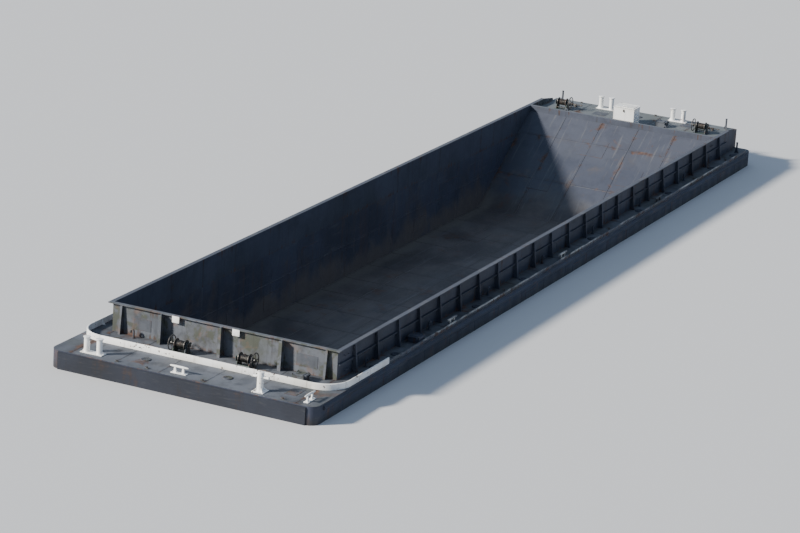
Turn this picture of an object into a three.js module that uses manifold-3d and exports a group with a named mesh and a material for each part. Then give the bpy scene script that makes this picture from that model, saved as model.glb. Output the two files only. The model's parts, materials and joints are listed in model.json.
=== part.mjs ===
// Open hopper river barge, a half-size model. Millimetres, +X to the bow, +Y to port, +Z up.
// The origin is on the flat bottom, below the middle of the hull.
import * as THREE from "three";
import { mergeVertices } from "three/addons/utils/BufferGeometryUtils.js";
import Module from "manifold-3d";

const wasm = await Module();
wasm.setup();

// Driving dimensions
const LENGTH = 30000;
const BEAM = 7500;
const DEPTH = 2100;
const GAP = 0.3;

// Sides of a round piece by its thickness, steps of an arc, and how far a cut runs past a face
const ROUND = 20;
const ROUND_BAR = 12;
const ROUND_ROD = 8;
const ARC_STEPS = 6;
const PAST = 1;

const END_PLATE = 40;
const STRAKE = { proud: 50, height: 150, below: 30, short: 450 };
const HOLD = { width: 6300, floor: 300 };
const STERN_DECK = 2150;
const FORE_DECK = { length: 2200, height: 600 };
const RAMP_RUN = 3600;
const RAKE = { knuckle: 3600, round: 900, headlog: 600 };
const BILGE = 200;
const CORNER = 250;
const TRANSOM_FOOT = 300;

const COAMING = { height: 775, plate: 25, flange: 120, rim: 25 };
const BAR = { proud: 60, thick: 20, up: 390 };
const SIDE_STAY = { pitch: 1200, foot: 150, head: 70, thick: 16 };
const AFT_STAY = { foot: 240, head: 210, thick: 30, places: [-1700, 0, 1700] };
const END_STAY = { foot: 150, head: 70, thick: 16, places: [-2900, 2900] };
const FORE_STAY = { foot: 110, head: 60, thick: 16, places: [-2400, -900, 900, 2400] };
const BULWARK = { short: 350, slope: 700, height: 60 };

const STERN_CURB = { inset: 1200, height: 170, thick: 40, turn: 700, leg: 4000, edge: 30, arcSteps: 8 };
const SIDE_CURB = { height: 90, thick: 30, short: 500, lap: 5 };
const KEVEL = { length: 520, plate: 16, width: 130, height: 170, horn: 28, leg: 45, spread: 230 };
const BITTS = { plate: 20, length: 620, width: 240, spread: 360, radius: 75, height: 400, cap: 20, lip: 20 };
const TEE = { plate: 20, width: 320, radius: 85, height: 500, bar: 32, barLength: 460, barHeight: 370 };

const HATCH = { sizeX: 320, sizeY: 320, height: 150, wall: 12 };
const LOCKER = { sizeX: 500, sizeY: 700, height: 560, wall: 15, floor: 15 };
const HINGE = { reach: 40, level: 6, pin: 8, eye: 16, lug: 12, inset: 50, arm: 12, play: 0.5, foot: 60 };
const LID = { over: 15, plate: 12, raise: 10, border: 45, grip: 9, gripHeight: 45, gripLength: 130 };
const WINCH = {
  baseX: 420, baseY: 440, base: 15, cheekAt: 170, cheek: 20, foot: 300, head: 130, height: 310,
  shaftHeight: 230, shaft: 25, shaftEnd: 30, drum: 75, drumHalf: 145, flange: 140, flangeThick: 14,
  wheelAt: 270, wheel: 190, wheelSteps: 24, rim: 14, spoke: 10, hub: 45, tie: 15, tieX: 105, tieZ: 70,
};
const LADDER = {
  y: 2500, width: 360, standOff: 100, depth: 45, stile: 25, below: 150,
  rung: 12, pitch: 150, bracket: 600, brackets: 4,
};

// Places worked out from them
const AFT = -LENGTH / 2;
const BOW = LENGTH / 2;
const HULL_AFT = AFT + END_PLATE;
const HULL_BOW = BOW - END_PLATE;
const HULL_HALF = BEAM / 2 - STRAKE.proud;
const HOLD_HALF = HOLD.width / 2;
const HOLD_AFT = AFT + STERN_DECK;
const RAMP_TOP = BOW - FORE_DECK.length;
const RAMP_FOOT = RAMP_TOP - RAMP_RUN;
const RIM = DEPTH + COAMING.height;
const FORE_LEVEL = DEPTH + FORE_DECK.height;
const KNUCKLE = HULL_BOW - RAKE.knuckle;
const HEADLOG_FOOT = DEPTH - RAKE.headlog;
const RAKE_SLOPE = HEADLOG_FOOT / RAKE.knuckle;
const CURB_EDGE = HULL_HALF - STERN_CURB.edge;
const SIDE_CURB_AFT = AFT + STERN_CURB.leg;
const QUARTER = Math.PI / 2;

// Deck fittings by name and place; turn is about +Z
const KEVELS = [
  { name: "kevel_stern_middle", x: -14700, y: 175, turn: QUARTER },
  { name: "kevel_stern_corner", x: -14550, y: -3330, turn: 0 },
];
const SIDE_KEVELS = [-7200, 0, 7200];
const DOUBLE_BITTS = [
  { name: "bitts_stern_port", x: -14640, y: 2650, z: DEPTH, turn: QUARTER },
  { name: "bitts_bow_port", x: 14620, y: 1250, z: FORE_LEVEL, turn: QUARTER },
  { name: "bitts_bow_starboard", x: 14620, y: -1250, z: FORE_LEVEL, turn: QUARTER },
];
const TEE_BITTS = [
  { name: "bitt_stern_starboard", x: -14680, y: -2050, z: DEPTH, turn: QUARTER },
];
const WINCHES = [
  { name: "winch_stern_port", x: -13360, y: 900, z: DEPTH, turn: 0 },
  { name: "winch_stern_starboard", x: -13360, y: -900, z: DEPTH, turn: 2 * QUARTER },
  { name: "winch_bow_port", x: 13700, y: 2400, z: FORE_LEVEL, turn: 2 * QUARTER },
  { name: "winch_bow_starboard", x: 13700, y: -2400, z: FORE_LEVEL, turn: 0 },
];
const LIDDED = [
  { name: "hatch_aft_peak", x: -13380, y: -2450, z: DEPTH, turn: QUARTER, box: HATCH },
  { name: "hatch_wing_port", x: -9000, y: 3430, z: DEPTH, turn: 0, box: HATCH },
  { name: "hatch_wing_starboard", x: -9000, y: -3430, z: DEPTH, turn: 0, box: HATCH },
  { name: "hatch_fore_peak", x: 13700, y: -1050, z: FORE_LEVEL, turn: QUARTER, box: HATCH },
  { name: "locker", x: 13250, y: 0, z: FORE_LEVEL, turn: 2 * QUARTER, box: LOCKER },
];
const SIDES = [
  { side: "port", sign: 1 },
  { side: "starboard", sign: -1 },
];

// Paints
const paint = (color, roughness = 0.7, metalness = 0.1) => ({ color, roughness, metalness });
const PAINT = {
  hull: paint(0x4a4f55),
  bottom: paint(0x4d3a34),
  deck: paint(0x868b88),
  coaming: paint(0x7f8583),
  edge: paint(0x5d6164),
  white: paint(0xe9e8e2, 0.55),
  machine: paint(0x5c6560, 0.6, 0.3),
  steel: paint(0x77756f, 0.5, 0.6),
};

// Solids
function solid(geometry) {
  const bare = geometry.clone();
  bare.deleteAttribute("normal");
  bare.deleteAttribute("uv");
  const merged = mergeVertices(bare, 1e-3);
  return new wasm.Manifold(new wasm.Mesh({
    numProp: 3,
    vertProperties: new Float32Array(merged.attributes.position.array),
    triVerts: new Uint32Array(merged.index.array),
  }));
}

const join = (solids) => solids.reduce((whole, next) => whole.add(next));

// A box from its span along x, y and z, each given in either order
function box(...spans) {
  const size = spans.map(([from, to]) => Math.abs(to - from));
  const middle = spans.map(([from, to]) => (from + to) / 2);
  return solid(new THREE.BoxGeometry(...size).translate(...middle));
}

// A rod about an axis
function rod(axis, centre, radius, length, sides = ROUND) {
  const geometry = new THREE.CylinderGeometry(radius, radius, length, sides);
  if (axis === "x") geometry.rotateZ(QUARTER);
  if (axis === "z") geometry.rotateX(QUARTER);
  return solid(geometry.translate(...centre));
}

// An outline drawn across an axis: y and z for x, x and z for y, x and y for z
const ACROSS = {
  x: [[0, 1, 0], [0, 0, 1], [1, 0, 0]],
  y: [[1, 0, 0], [0, 0, 1], [0, -1, 0]],
  z: [[1, 0, 0], [0, 1, 0], [0, 0, 1]],
};
function prism(axis, outline, span, curveSegments = ARC_STEPS) {
  const shape = outline instanceof THREE.Shape ? outline
    : new THREE.Shape(outline.map((point) => new THREE.Vector2(...point)));
  const [low, high] = [Math.min(...span), Math.max(...span)];
  const depth = high - low;
  const geometry = new THREE.ExtrudeGeometry(shape, { depth, bevelEnabled: false, curveSegments });
  const turn = new THREE.Matrix4().makeBasis(...ACROSS[axis].map((row) => new THREE.Vector3(...row)));
  geometry.applyMatrix4(turn);
  const shift = { x: [low, 0, 0], y: [0, high, 0], z: [0, 0, low] }[axis];
  return solid(geometry.translate(...shift));
}

const barge = new THREE.Group();

function piece(name, body, finish, parent = barge) {
  const { vertProperties, triVerts } = body.getMesh();
  const geometry = new THREE.BufferGeometry();
  geometry.setAttribute("position", new THREE.BufferAttribute(new Float32Array(vertProperties), 3));
  geometry.setIndex(new THREE.BufferAttribute(new Uint32Array(triVerts), 1));
  geometry.computeVertexNormals();
  const mesh = new THREE.Mesh(geometry, new THREE.MeshStandardMaterial(finish));
  mesh.name = name;
  parent.add(mesh);
}

function placed({ x, y, z = DEPTH, turn = 0 }) {
  const group = new THREE.Group();
  group.position.set(x, y, z + GAP);
  group.rotation.z = turn;
  barge.add(group);
  return group;
}

// Hull
function bottomLine(shape) {
  shape.moveTo(HULL_AFT, DEPTH);
  shape.lineTo(HULL_AFT, TRANSOM_FOOT);
  shape.absarc(HULL_AFT + TRANSOM_FOOT, TRANSOM_FOOT, TRANSOM_FOOT, 2 * QUARTER, 3 * QUARTER, false);
  shape.lineTo(KNUCKLE - RAKE.round, 0);
  shape.quadraticCurveTo(KNUCKLE, 0, KNUCKLE + RAKE.round, RAKE.round * RAKE_SLOPE);
  shape.lineTo(HULL_BOW, HEADLOG_FOOT);
  return shape;
}

function hullForm() {
  const profile = bottomLine(new THREE.Shape());
  profile.lineTo(HULL_BOW, DEPTH);

  const section = new THREE.Shape();
  section.moveTo(HULL_HALF, DEPTH);
  section.lineTo(-HULL_HALF, DEPTH);
  section.absarc(-HULL_HALF + BILGE, BILGE, BILGE, 2 * QUARTER, 3 * QUARTER, false);
  section.absarc(HULL_HALF - BILGE, BILGE, BILGE, 3 * QUARTER, 4 * QUARTER, false);

  const plan = new THREE.Shape();
  const [cx, cy] = [HULL_BOW - CORNER, HULL_HALF - CORNER];
  plan.absarc(cx, cy, CORNER, 0, QUARTER, false);
  plan.absarc(-cx, cy, CORNER, QUARTER, 2 * QUARTER, false);
  plan.absarc(-cx, -cy, CORNER, 2 * QUARTER, 3 * QUARTER, false);
  plan.absarc(cx, -cy, CORNER, 3 * QUARTER, 4 * QUARTER, false);

  return prism("y", profile, [-HULL_HALF, HULL_HALF])
    .intersect(prism("x", section, [HULL_AFT, HULL_BOW]))
    .intersect(prism("z", plan, [0, DEPTH]));
}

function hull() {
  const form = hullForm();
  const all = [-BEAM, BEAM];
  const high = [-DEPTH, 2 * DEPTH];
  piece("stern_tank", form.intersect(box([AFT, HOLD_AFT], all, high)), PAINT.hull);
  for (const { side, sign } of SIDES) {
    const wing = box([HOLD_AFT + GAP, BOW], [sign * HOLD_HALF, sign * BEAM], high);
    piece(`wing_tank_${side}`, form.intersect(wing), PAINT.hull);
  }
  const middle = HOLD_HALF - GAP;
  const bottom = box([HOLD_AFT + GAP, RAMP_FOOT - GAP], [-middle, middle], [0, HOLD.floor]);
  piece("double_bottom", bottom, PAINT.bottom);

  const bow = new THREE.Shape();
  bow.moveTo(RAMP_FOOT, HOLD.floor);
  bow.lineTo(RAMP_FOOT, 0);
  bow.lineTo(KNUCKLE - RAKE.round, 0);
  bow.quadraticCurveTo(KNUCKLE, 0, KNUCKLE + RAKE.round, RAKE.round * RAKE_SLOPE);
  bow.lineTo(HULL_BOW, HEADLOG_FOOT);
  bow.lineTo(HULL_BOW, FORE_LEVEL);
  bow.lineTo(RAMP_TOP, FORE_LEVEL);
  piece("bow_tank", prism("y", bow, [-middle, middle]), PAINT.deck);
}

function hullEdges() {
  const wide = HULL_HALF - CORNER;
  const bevel = END_PLATE / 2;
  const band = (outer, inner, low, high) => [
    [inner, low], [inner, high], [outer, high - bevel], [outer, low + bevel],
  ];
  const bowBand = band(BOW, HULL_BOW + GAP, HEADLOG_FOOT + bevel, DEPTH - bevel);
  piece("headlog", prism("y", bowBand, [-wide, wide]), PAINT.edge);
  const sternBand = band(AFT, HULL_AFT - GAP, DEPTH / 2, DEPTH - bevel);
  piece("transom_plate", prism("y", sternBand, [-wide, wide]), PAINT.edge);
  const top = DEPTH - STRAKE.below;
  const run = [AFT + STRAKE.short, BOW - STRAKE.short];
  for (const { side, sign } of SIDES) {
    const strake = [
      [sign * (HULL_HALF + GAP), top - STRAKE.height], [sign * (HULL_HALF + GAP), top],
      [sign * BEAM / 2, top - STRAKE.proud], [sign * BEAM / 2, top - STRAKE.height + STRAKE.proud],
    ];
    piece(`rubbing_strake_${side}`, prism("x", strake, run), PAINT.edge);
  }
}

// Coamings
function stays(axis, { foot, head, thick, places }, face, outward, from, top) {
  return places.map((place) => prism(axis, [
    [face, from], [face + outward * foot, from], [face + outward * head, top], [face, top],
  ], [place - thick / 2, place + thick / 2]));
}

function sideCoaming(side, sign) {
  const foot = DEPTH + GAP;
  const aft = HOLD_AFT + GAP;
  const fore = BOW - BULWARK.short;
  const flat = fore - BULWARK.slope;
  const plate = prism("y", [
    [aft, foot], [fore, foot], [fore, FORE_LEVEL + BULWARK.height], [flat, RIM], [aft, RIM],
  ], [sign * HOLD_HALF, sign * (HOLD_HALF + COAMING.plate)]);
  const reach = HOLD_HALF + COAMING.flange;
  const flange = box([aft, flat], [sign * HOLD_HALF, sign * reach], [RIM - COAMING.rim, RIM]);
  const middle = foot + BAR.up;
  const barFace = HOLD_HALF + COAMING.plate / 2;
  const bar = box([aft, flat], [sign * barFace, sign * (HOLD_HALF + COAMING.plate + BAR.proud)],
    [middle - BAR.thick / 2, middle + BAR.thick / 2]);
  const count = Math.floor((flat - aft) / SIDE_STAY.pitch);
  const first = (aft + flat - (count - 1) * SIDE_STAY.pitch) / 2;
  const places = Array.from({ length: count }, (_, i) => first + i * SIDE_STAY.pitch);
  const webs = stays("x", { ...SIDE_STAY, places }, sign * barFace, sign, foot, RIM - COAMING.rim / 2);
  piece(`coaming_${side}`, join([plate, flange, bar, ...webs]), PAINT.coaming);
}

function endCoaming(name, face, outward, foot, half, sets) {
  const back = face + outward * COAMING.plate;
  const middle = face + outward * COAMING.plate / 2;
  const wide = outward < 0 ? half + COAMING.flange - COAMING.plate : half;
  const plate = box([face, back], [-half, half], [foot, RIM]);
  const flange = box([face, face + outward * COAMING.flange], [-wide, wide], [RIM - COAMING.rim, RIM]);
  const webs = sets.flatMap((set) => stays("y", set, middle, outward, foot, RIM - COAMING.rim / 2));
  piece(name, join([plate, flange, ...webs]), PAINT.coaming);
}

function coamings() {
  for (const { side, sign } of SIDES) sideCoaming(side, sign);
  const aftHalf = HOLD_HALF + COAMING.plate;
  endCoaming("coaming_aft", HOLD_AFT, -1, DEPTH + GAP, aftHalf, [AFT_STAY, END_STAY]);
  endCoaming("coaming_fore", RAMP_TOP, 1, FORE_LEVEL + GAP, HOLD_HALF - GAP, [FORE_STAY]);
}

// Curbs along the edge of the decks
function sternCurbs() {
  const { inset, height, thick, turn, leg } = STERN_CURB;
  const rise = [DEPTH + GAP, DEPTH + GAP + height];
  const aft = AFT + inset;
  const straight = CURB_EDGE - turn;
  piece("stern_curb", box([aft, aft + thick], [-straight + GAP, straight - GAP], rise), PAINT.white);
  for (const { side, sign } of SIDES) {
    const bend = new THREE.Shape();
    const inner = turn - thick;
    const end = AFT + leg - GAP;
    bend.absarc(aft + turn, sign * straight, turn, 2 * QUARTER, sign * QUARTER, sign > 0);
    bend.lineTo(end, sign * CURB_EDGE);
    bend.lineTo(end, sign * (CURB_EDGE - thick));
    bend.absarc(aft + turn, sign * straight, inner, sign * QUARTER, 2 * QUARTER, sign < 0);
    piece(`stern_curb_${side}`, prism("z", bend, rise, STERN_CURB.arcSteps), PAINT.white);
  }
}

function kevelSolid({ length, plate, width, height, horn, leg, spread }) {
  const legs = [-1, 1].map((end) => box(
    [end * spread / 2 - leg / 2, end * spread / 2 + leg / 2], [-leg / 2, leg / 2], [0, height],
  ));
  return join([
    box([-length / 2 + leg, length / 2 - leg], [-width / 2, width / 2], [0, plate]),
    rod("x", [0, 0, height], horn, length, ROUND_BAR), ...legs,
  ]);
}

function sideCurbs() {
  const foot = DEPTH + GAP;
  const inner = CURB_EDGE - SIDE_CURB.thick;
  const kevelAt = inner + SIDE_CURB.lap - KEVEL.width / 2;
  for (const { side, sign } of SIDES) {
    const curb = box([SIDE_CURB_AFT, BOW - SIDE_CURB.short], [sign * CURB_EDGE, sign * inner],
      [foot, foot + SIDE_CURB.height]);
    const kevels = SIDE_KEVELS.map((x) => kevelSolid(KEVEL).translate(x, sign * kevelAt, foot));
    piece(`side_curb_${side}`, join([curb, ...kevels]), PAINT.edge);
  }
}

// Mooring fittings
function mooring() {
  for (const row of KEVELS) piece(row.name, kevelSolid(KEVEL), PAINT.white, placed(row));
  const { plate, length, width, spread, radius, height, cap, lip } = BITTS;
  for (const row of DOUBLE_BITTS) {
    const posts = [-1, 1].flatMap((end) => [
      rod("z", [end * spread / 2, 0, height / 2], radius, height),
      rod("z", [end * spread / 2, 0, height], radius + lip, cap),
    ]);
    const base = box([-length / 2, length / 2], [-width / 2, width / 2], [0, plate]);
    piece(row.name, join([base, ...posts]), PAINT.white, placed(row));
  }
  for (const row of TEE_BITTS) {
    const half = TEE.width / 2;
    piece(row.name, join([
      box([-half, half], [-half, half], [0, TEE.plate]),
      rod("z", [0, 0, TEE.height / 2], TEE.radius, TEE.height),
      rod("x", [0, 0, TEE.barHeight], TEE.bar, TEE.barLength, ROUND_BAR),
    ]), PAINT.white, placed(row));
  }
}

// Hatches and the locker, each an open box with a lid on a pin along its own -X edge. A hatch has no floor.
function lidded({ name, box: size, ...place }) {
  const group = placed(place);
  const [halfX, halfY] = [size.sizeX / 2, size.sizeY / 2];
  const floor = size.floor ?? -PAST;
  const finish = name === "locker" ? PAINT.white : PAINT.deck;
  const pinX = -halfX - HINGE.reach;
  const pinZ = size.height + GAP + HINGE.level;
  const lugAt = halfY - HINGE.inset;
  const lugs = [-1, 1].map((end) => {
    const at = end * lugAt;
    const span = [at - HINGE.lug / 2, at + HINGE.lug / 2];
    const neck = prism("y", [
      [-halfX, size.height - HINGE.foot], [-halfX, size.height - HINGE.eye],
      [pinX + HINGE.eye, pinZ], [pinX - HINGE.eye, pinZ], [pinX - HINGE.eye, size.height - HINGE.eye],
    ], span);
    return neck.add(rod("y", [pinX, at, pinZ], HINGE.eye, HINGE.lug));
  });
  const hole = rod("y", [pinX, 0, pinZ], (HINGE.pin + HINGE.play) / Math.cos(Math.PI / ROUND), size.sizeY);
  const hollow = box([-halfX + size.wall, halfX - size.wall], [-halfY + size.wall, halfY - size.wall],
    [floor, size.height + PAST]);
  const walls = box([-halfX, halfX], [-halfY, halfY], [0, size.height]).subtract(hollow);
  piece(name, join([walls, ...lugs]).subtract(hole), finish, group);

  const under = size.height + GAP;
  const top = under + LID.plate;
  const armAt = lugAt - HINGE.lug / 2 - HINGE.arm;
  const arms = [-1, 1].map((end) => box(
    [pinX, -halfX], [end * armAt - HINGE.arm / 2, end * armAt + HINGE.arm / 2], [under, top],
  ));
  const [edgeX, edgeY] = [halfX + LID.over, halfY + LID.over];
  const [panelX, panelY] = [halfX - LID.border, halfY - LID.border];
  const gripX = edgeX - 2 * LID.border;
  const gripTop = top + LID.gripHeight;
  const gripEnds = [-1, 1].map((end) => rod(
    "z", [gripX, end * LID.gripLength / 2, (top + gripTop) / 2], LID.grip, LID.gripHeight, ROUND_ROD,
  ));
  piece(`${name}_lid`, join([
    box([-edgeX, edgeX], [-edgeY, edgeY], [under, top]),
    box([-panelX, panelX], [-panelY, panelY], [under, top + LID.raise]),
    rod("y", [pinX, 0, pinZ], HINGE.pin, 2 * lugAt + 2 * HINGE.lug),
    rod("y", [gripX, 0, gripTop], LID.grip, LID.gripLength + 2 * LID.grip, ROUND_ROD),
    ...arms, ...gripEnds,
  ]), finish, group);
}

// Lashing winches, each a frame and a drum that turns on its shaft with a handwheel
function winch({ name, ...place }) {
  const group = placed(place);
  const w = WINCH;
  const cheeks = [-1, 1].map((end) => {
    const at = end * w.cheekAt;
    return prism("y", [
      [-w.foot / 2, 0], [w.foot / 2, 0], [w.head / 2, w.height], [-w.head / 2, w.height],
    ], [at - w.cheek / 2, at + w.cheek / 2]);
  });
  const base = box([-w.baseX / 2, w.baseX / 2], [-w.baseY / 2, w.baseY / 2], [0, w.base]);
  const tie = rod("y", [w.tieX, 0, w.tieZ], w.tie, 2 * w.cheekAt, ROUND_ROD);
  const hole = rod("y", [0, 0, w.shaftHeight], (w.shaft + HINGE.play) / Math.cos(Math.PI / ROUND), w.baseY);
  piece(`${name}_frame`, join([base, tie, ...cheeks]).subtract(hole), PAINT.machine, group);

  const axle = (y, radius, length) => rod("y", [0, y, w.shaftHeight], radius, length);
  const back = -w.cheekAt - w.cheek - w.shaftEnd;
  const hub = [0, w.wheelAt, w.shaftHeight];
  const wheelRim = new THREE.TorusGeometry(w.wheel, w.rim, ROUND_ROD, w.wheelSteps);
  wheelRim.rotateX(QUARTER).translate(...hub);
  const spokes = ["x", "z"].map((axis) => rod(axis, hub, w.spoke, 2 * w.wheel, ROUND_ROD));
  piece(`${name}_drum`, join([
    axle((back + w.wheelAt + w.shaftEnd) / 2, w.shaft, w.wheelAt + w.shaftEnd - back),
    axle(0, w.drum, 2 * w.drumHalf),
    axle(-w.drumHalf + w.flangeThick / 2, w.flange, w.flangeThick),
    axle(w.drumHalf - w.flangeThick / 2, w.flange, w.flangeThick),
    axle(w.wheelAt, w.hub, 2 * w.rim), solid(wheelRim), ...spokes,
  ]), PAINT.steel, group);
}

// Ladders down the aft end of the hold
function ladders() {
  const foot = HOLD.floor + GAP;
  const top = RIM - LADDER.below;
  const near = HOLD_AFT + LADDER.standOff;
  const mid = near + LADDER.depth / 2;
  for (const { side, sign } of SIDES) {
    const y = sign * LADDER.y;
    const stiles = [-1, 1].flatMap((end) => {
      const at = y + end * LADDER.width / 2;
      const span = [at - LADDER.stile / 2, at + LADDER.stile / 2];
      const brackets = Array.from({ length: LADDER.brackets }, (_, i) => {
        const z = foot + LADDER.bracket * (i + 0.5);
        return box([HOLD_AFT + 2 * GAP, mid], span, [z, z + LADDER.stile]);
      });
      return [box([near, near + LADDER.depth], span, [foot, top]), ...brackets];
    });
    const count = Math.floor((top - foot) / LADDER.pitch);
    const rungs = Array.from({ length: count }, (_, i) => (
      rod("y", [mid, y, foot + (i + 0.5) * LADDER.pitch], LADDER.rung, LADDER.width, ROUND_ROD)
    ));
    piece(`hold_ladder_${side}`, join([...stiles, ...rungs]), PAINT.edge);
  }
}

hull();
hullEdges();
coamings();
sternCurbs();
sideCurbs();
mooring();
LIDDED.forEach(lidded);
WINCHES.forEach(winch);
ladders();

export default barge;
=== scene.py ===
# An open hopper river barge at half size: worn paint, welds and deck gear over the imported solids.
import json
import math
import random
from itertools import product

import bmesh
import bpy
from bmesh.types import BMEdge, BMFace, BMVert
from mathutils import Matrix, Vector


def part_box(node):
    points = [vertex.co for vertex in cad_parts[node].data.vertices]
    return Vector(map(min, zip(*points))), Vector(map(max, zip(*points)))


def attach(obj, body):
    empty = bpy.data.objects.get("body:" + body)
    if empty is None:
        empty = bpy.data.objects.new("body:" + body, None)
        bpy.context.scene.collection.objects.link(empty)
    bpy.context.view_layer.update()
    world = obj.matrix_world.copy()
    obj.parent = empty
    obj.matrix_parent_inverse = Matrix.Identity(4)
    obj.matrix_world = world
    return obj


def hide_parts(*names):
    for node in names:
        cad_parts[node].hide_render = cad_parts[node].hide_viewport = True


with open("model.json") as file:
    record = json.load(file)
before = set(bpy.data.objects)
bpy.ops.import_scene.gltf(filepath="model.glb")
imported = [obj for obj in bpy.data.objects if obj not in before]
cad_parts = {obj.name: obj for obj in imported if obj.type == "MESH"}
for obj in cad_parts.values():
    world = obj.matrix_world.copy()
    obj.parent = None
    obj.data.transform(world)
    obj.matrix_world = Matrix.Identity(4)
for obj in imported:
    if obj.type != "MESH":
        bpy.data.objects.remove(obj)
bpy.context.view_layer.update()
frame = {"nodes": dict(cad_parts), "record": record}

# Places read from the frame, in metres: +X to the bow, +Y to port, +Z up
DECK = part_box("stern_tank")[1].z
FORE_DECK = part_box("bow_tank")[1].z
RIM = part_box("coaming_port")[1].z
HOLD_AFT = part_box("coaming_aft")[1].x
RAMP_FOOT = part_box("bow_tank")[0].x
RAMP_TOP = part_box("coaming_fore")[0].x
HOLD_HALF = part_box("wing_tank_port")[0].y
HOLD_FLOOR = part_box("double_bottom")[1].z
HULL_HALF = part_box("wing_tank_port")[1].y
STERN_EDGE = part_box("stern_tank")[0].x
CURB_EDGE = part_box("side_curb_port")[1].y
SIDES = {"port": 1, "starboard": -1}
SIGNS = tuple(SIDES.values())
UP = (0, 0, 1)

# Sizes that the frame has no name for, in metres
WATERLINE = 1.625
COAMING_PLATE = 0.025
FLANGE = 0.12
HULL_CORNER = 0.25
SIDE_STAY = {"pitch": 1.2, "first": -12.05, "count": 22, "foot": 0.15, "head": 0.07}
AFT_STAYS = {"foot": 0.24, "head": 0.21, "half": 0.045, "places": (-1.7, 0.0, 1.7)}
END_STAYS = {"foot": 0.15, "head": 0.07, "half": 0.03, "places": (-2.9, 2.9)}
ANODES = {"first": -12.6, "pitch": 3.9, "count": 7, "height": 0.9}
BILGE_TOP = 0.35
BOW_RAKE = {"start": 11.4, "slant": 1.5 / 3.6, "seam_end": 13.6}
LID = {"half": 0.175, "plate": 0.0137, "screws": 0.145, "opening": 0.15}
COAMING_FACE = HOLD_HALF + COAMING_PLATE
AFT_FACE = HOLD_AFT - COAMING_PLATE
QUARTER = math.pi / 2
SMOOTH_UNDER = math.radians(34)

# LIFT keeps two close faces apart, and BITE sinks a fitting into what carries it
LIFT = 0.0003
BITE = 0.001

draws = random.Random(41)

# Materials


class Value:
    """A number that changes over a surface. An expression on it adds Math nodes."""

    def __init__(self, look, socket):
        self.look = look
        self.socket = socket

    def math(self, operation, *others):
        return self.look.math(operation, self, *others)

    def __add__(self, other):
        return self.math("ADD", other)

    def __sub__(self, other):
        return self.math("SUBTRACT", other)

    def __rsub__(self, other):
        return self.look.math("SUBTRACT", other, self)

    def __mul__(self, other):
        return self.math("MULTIPLY", other)

    def __abs__(self):
        return self.math("ABSOLUTE")

    __radd__ = __add__

    def most(self, other):
        return self.math("MAXIMUM", other)

    def between(self, low, high):
        """0 at low, 1 at high, smooth between; low may be the larger."""
        return self.look.node("MapRange", {"interpolation_type": "SMOOTHSTEP"}, {
            "Value": self, "From Min": low, "From Max": high,
        })

    def off(self, pitch):
        """The distance to the nearest multiple of pitch."""
        return self.math("PINGPONG", pitch / 2)


class Look:
    """A procedural material in the making, read from Object coordinates."""

    def __init__(self, name):
        self.material = bpy.data.materials.new(name)
        self.material.use_nodes = True
        self.tree = self.material.node_tree
        self.tree.nodes.clear()
        out = self.tree.nodes.new("ShaderNodeOutputMaterial")
        self.surface = self.tree.nodes.new("ShaderNodeBsdfPrincipled")
        self.tree.links.new(self.surface.outputs["BSDF"], out.inputs["Surface"])
        place = self.tree.nodes.new("ShaderNodeTexCoord")
        self.place = Value(self, place.outputs["Object"])
        self.x, self.y, self.z = self.parts(self.place)
        self.nx, _, self.nz = self.parts(Value(self, place.outputs["Normal"]))

    def put(self, socket, value):
        if isinstance(value, Value):
            self.tree.links.new(value.socket, socket)
        elif socket.type == "RGBA":
            socket.default_value = (*value, 1.0)
        else:
            socket.default_value = value

    def node(self, kind, settings=None, sockets=None, output=0):
        made = self.tree.nodes.new("ShaderNode" + kind)
        for key, value in (settings or {}).items():
            if key == "stops":
                stops = made.color_ramp.elements
                while len(stops) < len(value):
                    stops.new(0.5)
                for stop, (at, color) in zip(stops, value):
                    stop.position = at
                    stop.color = (*color, 1.0)
            else:
                setattr(made, key, value)
        for key, value in (sockets or {}).items():
            named = [socket for socket in made.inputs if key in (socket.name, socket.identifier)]
            self.put(named[0] if named else made.inputs[key], value)
        return Value(self, made.outputs[output])

    def math(self, operation, *values):
        return self.node("Math", {"operation": operation}, dict(enumerate(values)))

    def parts(self, vector):
        split = self.tree.nodes.new("ShaderNodeSeparateXYZ")
        self.put(split.inputs[0], vector)
        return [Value(self, out) for out in split.outputs]

    def noise(self, scale, detail=4.0, rough=0.55, stretch=None, twist=0.0):
        """Noise with so many grains a metre, or with its own number for each axis in stretch."""
        place = self.place
        if stretch:
            place = self.node("VectorMath", {"operation": "MULTIPLY"}, {0: place, 1: stretch})
        return self.node("TexNoise", None, {
            "Vector": place, "Scale": scale, "Detail": detail, "Roughness": rough, "Distortion": twist,
        })

    def mix(self, share, under, over):
        return self.node("Mix", {"data_type": "RGBA"}, {
            "Factor_Float": share, "A_Color": under, "B_Color": over,
        }, output=2)

    def stain(self, under, over, share, scale, low, high, detail=6.0, rough=0.62, **how):
        """One colour over another in patches, where noise passes from low to high."""
        return self.mix(self.noise(scale, detail, rough, **how).between(low, high) * share, under, over)

    def finish(self, color, roughness, height=None, distance=0.01, metallic=0.0, gloss=0.5):
        self.surface.inputs["Specular IOR Level"].default_value = gloss
        self.put(self.surface.inputs["Base Color"], color)
        self.put(self.surface.inputs["Roughness"], roughness)
        self.put(self.surface.inputs["Metallic"], metallic)
        if height is not None:
            bump = self.node("Bump", None, {"Strength": 1.0, "Distance": distance, "Height": height})
            self.put(self.surface.inputs["Normal"], bump)
        return self.material


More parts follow.
